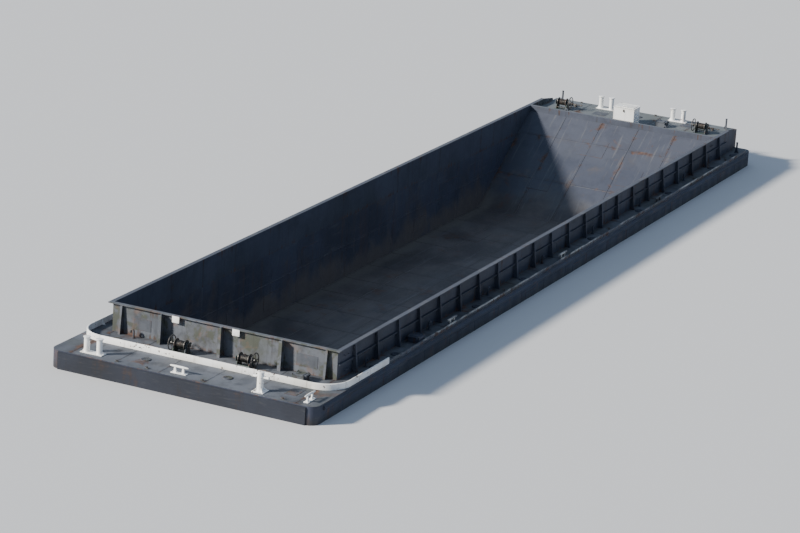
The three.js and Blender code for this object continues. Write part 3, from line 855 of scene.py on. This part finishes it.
def vents():
    for side, sign in SIDES.items():
        places = stands([(along(SIDE_STAY, step), sign * VENT_LINE) for step in VENTS["after_stays"]])
        piece(f"vents_{side}", copies(gooseneck(), places), "coaming_paint", paint=PATCHED)
    places = stands(VENTS["ends"], QUARTER)
    piece("vents_ends", copies(gooseneck(), places), "coaming_paint", paint=PATCHED)


def load_binder():
    """A ratchet for lashing wires: a barrel with two screws, their eyes and a lever, on two chocks."""
    shape = bmesh.new()
    height, barrel, thread, pitch = 0.07, 0.026, 0.015, 0.012
    for x in (-0.13, 0.13):
        block(shape, (x - 0.03, -0.06, 0), (x + 0.03, 0.06, height - barrel + 0.002), bevel=0.004)
    lathe(shape, [
        (0, -0.17), (0.018, -0.17), (barrel, -0.16), (barrel, -0.045), (0.043, -0.04), (0.043, 0.04),
        (barrel, 0.045), (barrel, 0.16), (0.018, 0.17), (0, 0.17),
    ], (0, 0, height), (1, 0, 0), steps=16)
    screw = [(0, 0.165)]
    for step in range(11):
        screw += [(thread, 0.165 + step * pitch), (0.012, 0.171 + step * pitch)]
    screw += [(0.012, 0.30), (0, 0.30)]
    for end in (-1, 1):
        lathe(shape, screw, (0, 0, height), (end, 0, 0), steps=12)
        pipe(shape, (end * 0.295, 0, height), (0, end, 0), 0.011,
             [0.0001, (UP, -2 * math.pi + 0.02, 0.034)], sides=8)
    pipe(shape, (0.0, 0.03, height + 0.01), (0.25, 1, 0.05), 0.012, [0.30], sides=10)
    return as_mesh(shape)


def load_binders():
    piece("load_binders", copies(load_binder(), stands(BINDERS, QUARTER)), "bare_steel")


def lamp_socket():
    """A short tube with webs, for a portable lamp."""
    shape = bmesh.new()
    lathe(shape, [(0, 0), (0.07, 0), (0.07, 0.01), (0.03, 0.012), (0.03, 0.30), (0.034, 0.302),
                  (0.034, 0.33), (0.026, 0.332), (0.024, 0.26), (0, 0.26)], steps=20)
    webs(shape, 3, ((0.028, 0.008), (0.066, 0.008), (0.028, 0.13)), 0.008)
    return as_mesh(shape)


def lamp_sockets():
    piece("lamp_sockets", copies(lamp_socket(), stands(SOCKETS)), "coaming_paint", paint=PATCHED)


def ring_lug():
    """A lug with its loose ring lying over."""
    shape = bmesh.new()
    block(shape, (-0.05, -0.03, 0), (0.05, 0.03, 0.008), bevel=0.003)
    slab(shape, [
        (-0.028, -0.007, 0.006), (0.028, -0.007, 0.006), (0.016, -0.007, 0.045), (-0.016, -0.007, 0.045),
    ], (0, 0.014, 0), bevel=0.003)
    pipe(shape, (0, 0, 0.028), (1, 0, 0), 0.007, [0.0001, ((0, -0.35, 1), 2 * math.pi - 0.02, 0.038)],
         sides=8)
    return as_mesh(shape)


def ring_lugs():
    places = stands(product(LUGS["side"], (WALKWAY, -WALKWAY))) + stands(LUGS["ends"], QUARTER)
    piece("ring_lugs", copies(ring_lug(), places), "bare_steel")


# Coaming details


def stay_flats():
    """Face flats along the sloping edge of each stay."""
    middle, foot, under_rim = COAMING_PLATE / 2, DECK + LIFT, RIM - 0.026
    shape = bmesh.new()
    low_y, high_y = (HOLD_HALF + middle + SIDE_STAY[end] for end in ("foot", "head"))
    for sign, step in product(SIGNS, range(SIDE_STAY["count"])):
        x = along(SIDE_STAY, step)
        flat_bar(shape, (x, sign * low_y, foot), (x, sign * high_y, under_rim), (0.03, 0, 0),
                 (0, sign * 0.008, 0))
    piece("side_stay_flats", shape, "coaming_paint")
    shape = bmesh.new()
    for stays in (AFT_STAYS, END_STAYS):
        low_x, high_x = (HOLD_AFT - middle - stays[end] for end in ("foot", "head"))
        top = RIM - middle if high_x < HOLD_AFT - FLANGE else under_rim
        for y in stays["places"]:
            flat_bar(shape, (low_x, y, foot), (high_x, y, top), (0, stays["half"], 0), (-0.012, 0, 0))
    piece("aft_stay_flats", shape, "coaming_paint")


def blank_plates():
    """Two blank white plates that hang from the rim of the aft coaming, beside its stays."""
    shape = bmesh.new()
    edge, half, low, high = HOLD_AFT - FLANGE, 0.10, RIM - 0.17, RIM - 0.003
    for y in (1.31, -0.40):
        block(shape, (edge - 0.009, y - half, low), (edge + BITE, y + half, high), bevel=0.002)
    piece("blank_plates", shape, "white_paint")


def coaming_steps():
    """Bent-rod steps up the outside of the coamings."""
    shape = bmesh.new()
    reach, half, bend = 0.05, 0.09, 0.02
    for sign, x, rise in product(SIGNS, (-12.45, 12.55), (0.18, 0.56)):
        corner = (UP, -sign * QUARTER, bend)
        pipe(shape, (x - half, sign * (COAMING_FACE - 0.002), DECK + rise), (0, sign, 0), 0.009,
             [reach, corner, 2 * (half - bend), corner, reach], sides=8)
    piece("coaming_steps", shape, "coaming_paint")


def weld_beads():
    """Beads along the foot of the coamings."""
    shape = bmesh.new()
    out, aft, fore = COAMING_FACE + 0.002, AFT_FACE - 0.002, RAMP_TOP + COAMING_PLATE + 0.002
    bow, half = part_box("coaming_port")[1].x - 0.05, HOLD_HALF - 0.01
    low, high = DECK + BITE, FORE_DECK + BITE
    for start, end in (
        ((HOLD_AFT, out, low), (bow, out, low)),
        ((HOLD_AFT, -out, low), (bow, -out, low)),
        ((aft, -COAMING_FACE, low), (aft, COAMING_FACE, low)),
        ((fore, -half, high), (fore, half, high)),
    ):
        rod(shape, start, end, 0.009)
    piece("weld_beads", shape, "coaming_paint", paint=WELD)


# Plate seams


def seam_places(low, high, pitch, shift=0.0):
    """Where plates of one size meet between two ends."""
    steps = range(math.ceil((low - shift) / pitch), math.floor((high - shift) / pitch) + 1)
    return [shift + pitch * step for step in steps]


def seam(shape, start, end, out):
    """A low weld bead between two points of a face, sunk into it."""
    radius, proud = 0.010, 0.005
    sunk = Vector(out).normalized() * (radius - proud)
    rod(shape, Vector(start) - sunk, Vector(end) - sunk, radius)


def deck_seams():
    """Beads across and along the end decks and across the side decks, clear of the hatches."""
    shape = bmesh.new()
    inset, half, long, wide = 0.06, HULL_HALF - 0.02, PLATE["long"], PLATE["wide"]
    hatch_low, hatch_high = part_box("hatch_aft_peak")
    wing_low, wing_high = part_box("hatch_wing_port")
    stern, fore, bow = STERN_EDGE + inset, RAMP_TOP + COAMING_PLATE, -STERN_EDGE - inset
    fore_half = HOLD_HALF - inset
    stern_places = seam_places(stern, AFT_FACE, long)
    side_places = [x for x in seam_places(AFT_FACE, bow, long) if not wing_low.x < x < wing_high.x]
    for places, near, far, level in (
        (stern_places, -half, hatch_low.y, DECK),
        (stern_places, hatch_high.y, half, DECK),
        (seam_places(fore, bow, long), -fore_half, fore_half, FORE_DECK),
        (side_places, COAMING_FACE, half, DECK),
        (side_places, -COAMING_FACE, -half, DECK),
    ):
        for x in places:
            seam(shape, (x, near, level), (x, far, level), UP)
    for aft, end, side, level in ((stern, AFT_FACE, half, DECK), (fore, bow, fore_half, FORE_DECK)):
        for y in seam_places(-side, side, wide, wide / 2):
            seam(shape, (aft, y, level), (end, y, level), UP)
    piece("deck_seams", shape, "deck_paint")


def hold_seams():
    """Beads over the hold's floor, ramp and walls."""
    shape = bmesh.new()
    rise, run, wide = FORE_DECK - HOLD_FLOOR, RAMP_TOP - RAMP_FOOT, PLATE["wide"]
    slope = (-rise, 0, run)
    at_wide = RAMP_FOOT + (wide - HOLD_FLOOR) * run / rise
    for x in seam_places(HOLD_AFT, RAMP_TOP, PLATE["long"]):
        level = HOLD_FLOOR + max(0.0, x - RAMP_FOOT) * rise / run
        seam(shape, (x, -HOLD_HALF, level), (x, HOLD_HALF, level), UP if x < RAMP_FOOT else slope)
        if level < DECK:
            for y in (HOLD_HALF, -HOLD_HALF):
                seam(shape, (x, y, level), (x, y, DECK), (0, -y, 0))
    for y in seam_places(-HOLD_HALF + 0.1, HOLD_HALF - 0.1, wide, wide / 2):
        seam(shape, (HOLD_AFT, y, HOLD_FLOOR), (RAMP_FOOT, y, HOLD_FLOOR), UP)
        seam(shape, (RAMP_FOOT, y, HOLD_FLOOR), (RAMP_TOP, y, FORE_DECK), slope)
    for y in (HOLD_HALF, -HOLD_HALF):
        seam(shape, (HOLD_AFT, y, wide), (at_wide, y, wide), (0, -y, 0))
    seam(shape, (HOLD_AFT, -HOLD_HALF, wide), (HOLD_AFT, HOLD_HALF, wide), (1, 0, 0))
    piece("hold_seams", shape, "hull_paint")


def hull_seams():
    """Beads up and along the sides, between the bilge and the rubbing strakes."""
    shape = bmesh.new()
    strake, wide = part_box("rubbing_strake_port")[0].z, PLATE["wide"]
    reach = -STERN_EDGE - HULL_CORNER - 0.1
    for side in (HULL_HALF, -HULL_HALF):
        out = (0, side, 0)
        for x in seam_places(-reach, reach, PLATE["long"]):
            foot = BILGE_TOP + max(0.0, x - BOW_RAKE["start"]) * BOW_RAKE["slant"]
            seam(shape, (x, side, foot), (x, side, strake), out)
        seam(shape, (-reach, side, wide), (BOW_RAKE["seam_end"], side, wide), out)
    piece("hull_seams", shape, "hull_paint")


# Repairs. A patch is its centre, two directions along the face that it is on, its width and its height


def repair(plates, beads, centre, across, up, width, height):
    """A doubler plate on a flat face, and the bead round it."""
    centre, across, up = Vector(centre), Vector(across).normalized(), Vector(up).normalized()
    out = across.cross(up)
    corners = [centre + across * sx * width / 2 + up * sz * height / 2 - out * BITE
               for sx, sz in ((-1, -1), (1, -1), (1, 1), (-1, 1))]
    slab(plates, corners, out * 0.007, bevel=0.002)
    for corner, after in zip(corners, corners[1:] + corners[:1]):
        rod(beads, corner + out * BITE, after + out * BITE, 0.006)


def coaming_repairs():
    for sign in SIGNS:
        for step in draws.sample(range(SIDE_STAY["count"] - 1), 7):
            x = along(SIDE_STAY, step + 0.5) + draws.uniform(-0.15, 0.15)
            z = DECK + draws.choice((0.2, 0.57))
            size = draws.uniform(0.3, 0.7), draws.uniform(0.16, 0.28)
            yield (x, sign * COAMING_FACE, z), (-sign, 0, 0), UP, *size
    for y in (-2.35, 2.3):
        yield (AFT_FACE, y, DECK + 0.33), (0, -1, 0), UP, draws.uniform(0.4, 0.6), 0.3


def hull_repairs():
    for sign, step in product(SIGNS, range(6)):
        between = along(ANODES, step + 0.5)
        x, z = between + draws.uniform(-1.2, 1.2), draws.uniform(1.71, 1.79)
        yield (x, sign * HULL_HALF, z), (-sign, 0, 0), UP, draws.uniform(0.4, 1.1), 0.18
        x, z = between + draws.uniform(-0.6, 0.6), draws.uniform(0.55, 1.25)
        size = draws.uniform(0.5, 1.2), draws.uniform(0.3, 0.6)
        yield (x, sign * HULL_HALF, z), (-sign, 0, 0), UP, *size


def hold_repairs():
    for sign, step in product(SIGNS, range(9)):
        x, z = -11.2 + step * 2.3 + draws.uniform(-0.45, 0.45), draws.uniform(0.7, 1.7)
        size = draws.uniform(0.5, 1.3), draws.uniform(0.3, 0.7)
        yield (x, sign * HOLD_HALF, z), (sign, 0, 0), UP, *size
    for step in range(7):
        x, y = -10.9 + step * 2.9 + draws.uniform(-0.6, 0.6), draws.uniform(-2.5, 2.5)
        size = draws.uniform(0.5, 1.4), draws.uniform(0.4, 0.9)
        yield (x, y, HOLD_FLOOR), (1, 0, 0), (0, 1, 0), *size
    slope = Vector((RAMP_TOP - RAMP_FOOT, 0, FORE_DECK - HOLD_FLOOR))
    for share, y in ((0.35, 1.6), (0.52, -1.1), (0.74, 0.5), (0.80, -2.2)):
        size = draws.uniform(0.5, 1.1), draws.uniform(0.4, 0.8)
        yield Vector((RAMP_FOOT, y, HOLD_FLOOR)) + slope * share, (0, -1, 0), slope, *size


def deck_repairs():
    for x, y in ((-14.2, -2.75), (-13.4, 3.2), (13.9, 1.15), (14.3, -1.7)):
        size = draws.uniform(0.35, 0.55), draws.uniform(0.3, 0.5)
        yield (x, y, deck_at(x, y)), (1, 0, 0), (0, 1, 0), *size


def repairs():
    for place, slot, paint, patches in (
        ("coaming", "coaming_paint", PATCHED, coaming_repairs()),
        ("hull", "hull_paint", None, hull_repairs()),
        ("hold", "hull_paint", None, hold_repairs()),
        ("deck", "coaming_paint", PATCHED, deck_repairs()),
    ):
        plates, beads = bmesh.new(), bmesh.new()
        for patch in patches:
            repair(plates, beads, *patch)
        piece(f"{place}_doublers", plates, slot, paint=paint)
        piece(f"{place}_doubler_beads", beads, slot, paint=WELD)


# Hold


def standpipes():
    """Drain pipes up the aft corners of the hold, clipped to the wall, with a coupling on top."""
    shape = bmesh.new()
    radius, x, foot = 0.035, HOLD_AFT + 0.075, HOLD_FLOOR + 0.06
    for y in (2.98, -2.98):
        pipe(shape, (x, y, foot), UP, radius, [RIM - foot - 0.14], sides=16)
        lathe(shape, [(0, 0), (0.05, 0), (0.055, 0.01), (0.055, 0.05), (0.05, 0.06), (0, 0.06)],
              (x, y, RIM - 0.16), steps=20)
        lathe(shape, [(0, 0), (0.06, 0), (0.045, 0.08), (0, 0.08)], (x, y, HOLD_FLOOR + 0.02), steps=20)
        for step in range(4):
            z = HOLD_FLOOR + 0.45 + step * 0.55
            block(shape, (HOLD_AFT + BITE, y - 0.05, z - 0.02), (x + radius + 0.005, y + 0.05, z + 0.02),
                  bevel=0.004)
    piece("standpipes", shape, "edge_paint")


def wells():
    """Gratings over the drain wells in the hold's aft corners."""
    shape = bmesh.new()
    x, half, rail, bar = HOLD_AFT + 0.38, 0.19, 0.03, 0.006
    low, high = HOLD_FLOOR - BITE, HOLD_FLOOR + 0.012
    for y in (2.85, -2.85):
        for sign in SIGNS:
            near, far = span(sign, half, half - rail)
            block(shape, (x - half, y + near, low), (x + half, y + far, high), bevel=0.002, segments=1)
            block(shape, (x + near, y - half, low), (x + far, y + half, high), bevel=0.002, segments=1)
        for step in range(9):
            at = y - half + 0.055 + step * 0.034
            block(shape, (x - half + 0.02, at - bar, low), (x + half - 0.02, at + bar, high - 0.002))
    piece("well_gratings", shape, "bare_steel")


def anodes():
    """Zinc blocks on straps, welded on the sides below the waterline."""
    shape = bmesh.new()
    z = ANODES["height"]
    for sign, step in product(SIGNS, range(ANODES["count"])):
        x = along(ANODES, step)
        for long, tall, proud, edge in ((0.16, 0.04, 0.038, 0.012), (0.23, 0.015, 0.008, 0.002)):
            near, far = span(sign, HULL_HALF - BITE, HULL_HALF + proud)
            block(shape, (x - long, near, z - tall), (x + long, far, z + tall), bevel=edge, segments=1)
    piece("anodes", shape, "bare_steel", paint=ANODE)


# Winches


def winch_wire():
    """The wire wound on a drum."""
    shape = bmesh.new()
    core, lay, pitch, turns = 0.070, 0.092, 0.015, 17
    outline = [(core, -0.128)]
    for step in range(turns):
        y = (step - turns // 2) * pitch
        outline += [(lay, y - 0.0055), (lay + 0.006, y), (lay, y + 0.0055)]
    outline += [(core, 0.128)]
    lathe(shape, outline, axis=(0, 1, 0), ring=True)
    return as_mesh(shape)


def ratchet_wheel():
    """A toothed wheel on the drum's shaft, outside the cheek."""
    shape = bmesh.new()
    place = Matrix.Translation((0, -0.186, 0)) @ Matrix.Rotation(QUARTER, 4, "X")
    teeth = bmesh.ops.create_circle(shape, cap_ends=True, radius=0.062, segments=32, matrix=place)["verts"]
    for vert in teeth[::2]:
        vert.co += Vector((vert.co.x, 0, vert.co.z)) * 0.16
    grow(shape, list(shape.faces), (0, -0.016, 0))
    return as_mesh(shape)


def pawl(shaft):
    """The pawl, its pin and pad on the cheek, and the bolts of the base."""
    shape = bmesh.new()
    slab(shape, [(x, -0.204, shaft + z) for x, z in (
        (0.060, 0.082), (0.075, 0.070), (0.130, 0.020), (0.150, 0.025), (0.150, 0.045),
    )], (0, 0.018, 0), bevel=0.003)
    pin = (0.135, -0.184, shaft + 0.035)
    lathe(shape, [(0, 0), (0.014, 0), (0.014, 0.025), (0, 0.025)], pin, (0, -1, 0), steps=12)
    block(shape, (0.078, -0.190, shaft - 0.06), (0.150, -0.178, shaft + 0.05), bevel=0.003)
    hex_bolts(shape, product((-0.18, 0.18), (-0.12, 0.12)), 0.015, 0.013, 0.011)
    return as_mesh(shape)


def winches():
    for place in ("stern_port", "stern_starboard", "bow_port", "bow_starboard"):
        low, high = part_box(f"winch_{place}_frame")
        drum_low, drum_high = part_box(f"winch_{place}_drum")
        stand = Vector(((low.x + high.x) / 2, (low.y + high.y) / 2, low.z))
        shaft = (drum_low.z + drum_high.z) / 2 - low.z
        wheel_to_port = drum_low.y + drum_high.y > low.y + high.y
        foot = moved(*stand, 0.0 if wheel_to_port else math.pi)
        axle = foot @ Matrix.Translation((0, 0, shaft))
        drum = f"{place}_drum"
        piece(f"winch_{place}_wire", copies(winch_wire(), [axle]), "bare_steel", body=drum, paint=WIRE)
        piece(f"winch_{place}_ratchet", copies(ratchet_wheel(), [axle]), "bare_steel", body=drum)
        piece(f"winch_{place}_pawl", copies(pawl(shaft), [foot]), "machine_paint")


# Hatches and the locker


HATCHES = ("aft_peak", "wing_port", "wing_starboard", "fore_peak")


def lid_middle(name):
    """The middle of a hatch's lid without its hinge, at its lower face."""
    low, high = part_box(f"hatch_{name}_lid")
    return high.x - LID["half"], high.y - LID["half"], low.z


def hatch_openings():
    """The way down into each tank: a dark plate in the hatch trunk that paints the shade inside the tank,
    and a rung across it.
    """
    shape, rungs = bmesh.new(), bmesh.new()
    reach = LID["opening"]
    for name in HATCHES:
        x, y, _ = lid_middle(name)
        z = deck_at(x, y)
        block(shape, (x - reach, y - reach, z - BITE), (x + reach, y + reach, z + 0.002))
        rod(rungs, (x - reach, y + 0.05, z + 0.025), (x + reach, y + 0.05, z + 0.025), 0.008, 8)
    # The dark plate's colour is painted shade, not a surface of the tank.
    piece("hatch_openings", shape, "hull_paint", paint=painted_tank_shade())
    piece("hatch_rungs", rungs, "bare_steel")


def hatch_dogs():
    """Wing screws at the corners of each hatch lid."""
    for name in HATCHES:
        middle_x, middle_y, foot = lid_middle(name)
        z = foot + LID["plate"]
        shape = bmesh.new()
        for sx, sy in product((-1, 1), (-1, 1)):
            x, y = middle_x + sx * LID["screws"], middle_y + sy * LID["screws"]
            lathe(shape, [(0, -BITE), (0.018, -BITE), (0.018, 0.006), (0.010, 0.008), (0.010, 0.026),
                          (0, 0.026)], (x, y, z), steps=12)
            block(shape, (x - 0.030, y - 0.004, z + 0.010), (x + 0.030, y + 0.004, z + 0.022), bevel=0.003)
        piece(f"hatch_{name}_dogs", shape, "bare_steel", body=f"{name}_lid")


def locker_fittings():
    """Louvres, handles, a hasp with its padlock, and foot clips."""
    low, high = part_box("locker")
    middle, foot = low.x + 0.25, low.z
    shape = bmesh.new()
    for sign in SIGNS:
        inside, louvre = sign * (high.y - 0.002), sign * (high.y + 0.014)
        for step in range(5):
            z = foot + 0.34 + step * 0.026
            flat_bar(shape, (middle, inside, z), (middle, louvre, z - 0.012), (0.09, 0, 0), (0, 0, 0.003))
        corner = (UP, -sign * QUARTER, 0.014)
        pipe(shape, (middle - 0.06, inside, foot + 0.24), (0, sign, 0), 0.007,
             [0.022, corner, 0.092, corner, 0.022], sides=8)
        for x in (low.x + 0.08, low.x + 0.42):
            for reach, tall in ((0.045, 0.006), (0.006, 0.05)):
                near, far = span(sign, high.y - 0.002, high.y + reach)
                block(shape, (x - 0.025, near, foot), (x + 0.025, far, foot + tall), bevel=0.002, segments=1)
            hex_bolts(shape, [(x, sign * (high.y + 0.028))], foot + 0.006)
    piece("locker_fittings", shape, "white_paint")
    shape = bmesh.new()
    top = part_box("locker_lid")[0].z
    block(shape, (low.x - 0.004, -0.03, top - 0.11), (low.x + BITE, 0.03, top - 0.05),
          bevel=0.001, segments=1)
    pipe(shape, (low.x, 0.0, top - 0.068), (-1, 0, 0), 0.004, [0.012, ((0, 1, 0), -math.pi, 0.010), 0.012],
         sides=8)
    block(shape, (low.x - 0.028, -0.02, top - 0.125), (low.x - 0.012, 0.02, top - 0.088), bevel=0.003)
    piece("locker_hasp", shape, "bare_steel")


def dress():
    mooring()
    stern_curbs()
    curb_brackets()
    manholes()
    vents()
    load_binders()
    lamp_sockets()
    ring_lugs()
    stay_flats()
    blank_plates()
    coaming_steps()
    weld_beads()
    deck_seams()
    hold_seams()
    hull_seams()
    repairs()
    standpipes()
    wells()
    anodes()
    winches()
    hatch_openings()
    hatch_dogs()
    locker_fittings()


# The camera stands where the photograph was taken, at half size, turned to the barge, with a longer lens
CAMERA = {"place": (-76.408, -34.654, 26.718), "aim": (-3.148, -0.097, 2.0), "roll": 3.6, "lens": 139.0}
SKY = {"color": (0.55, 0.72, 1.0), "strength": 0.53}
SUN = {"color": (1.0, 0.955, 0.875), "energy": 8.0, "from": (-0.60, 0.65, 0.45), "width": 6.0}
FLOOR_REACH = 400.0


def make_camera():
    data = bpy.data.cameras.new("camera")
    data.lens = CAMERA["lens"]
    data.sensor_width = 36.0
    data.clip_end = 1000.0
    camera = placed("camera", data)
    place, aim = Vector(CAMERA["place"]), Vector(CAMERA["aim"])
    turn = (aim - place).to_track_quat("-Z", "Y").to_matrix().to_4x4()
    roll = Matrix.Rotation(math.radians(CAMERA["roll"]), 4, "Z")
    camera.matrix_world = Matrix.Translation(place) @ turn @ roll
    bpy.context.scene.camera = camera


def make_floor():
    """A plain floor at the waterline, with the hull's outline cut out of it."""
    cx, cy = -STERN_EDGE - HULL_CORNER, HULL_HALF - HULL_CORNER
    quarters = ((1, 1), (-1, 1), (-1, -1), (1, -1))
    shape = bmesh.new()
    outline = []
    for quarter, (sx, sy) in enumerate(quarters):
        for step in range(7):
            angle = (quarter + step / 6) * QUARTER
            outline.append(shape.verts.new((
                sx * cx + HULL_CORNER * math.cos(angle), sy * cy + HULL_CORNER * math.sin(angle), WATERLINE,
            )))
    rim = [shape.verts.new((sx * FLOOR_REACH, sy * FLOOR_REACH, WATERLINE)) for sx, sy in quarters]
    edges = [shape.edges.new((loop[i - 1], loop[i])) for loop in (outline, rim) for i in range(len(loop))]
    bmesh.ops.triangle_fill(shape, edges=edges, use_beauty=True, normal=UP)
    data = as_mesh(shape, "floor")
    data.materials.append(Look("floor_pale").finish(FLOOR_PALE, 0.9))
    floor = placed("floor", data)


def make_light():
    world = bpy.data.worlds.new("studio")
    world.use_nodes = True
    back = world.node_tree.nodes["Background"]
    back.inputs["Color"].default_value = (*SKY["color"], 1.0)
    back.inputs["Strength"].default_value = SKY["strength"]
    bpy.context.scene.world = world
    key = bpy.data.lights.new("key", "SUN")
    key.energy = SUN["energy"]
    key.angle = math.radians(SUN["width"])
    key.color = SUN["color"]
    lamp = placed("key", key)
    lamp.rotation_mode = "QUATERNION"
    lamp.rotation_quaternion = Vector(SUN["from"]).to_track_quat("Z", "Y")


make_camera()
make_floor()
make_light()
paint_solids()
dress()
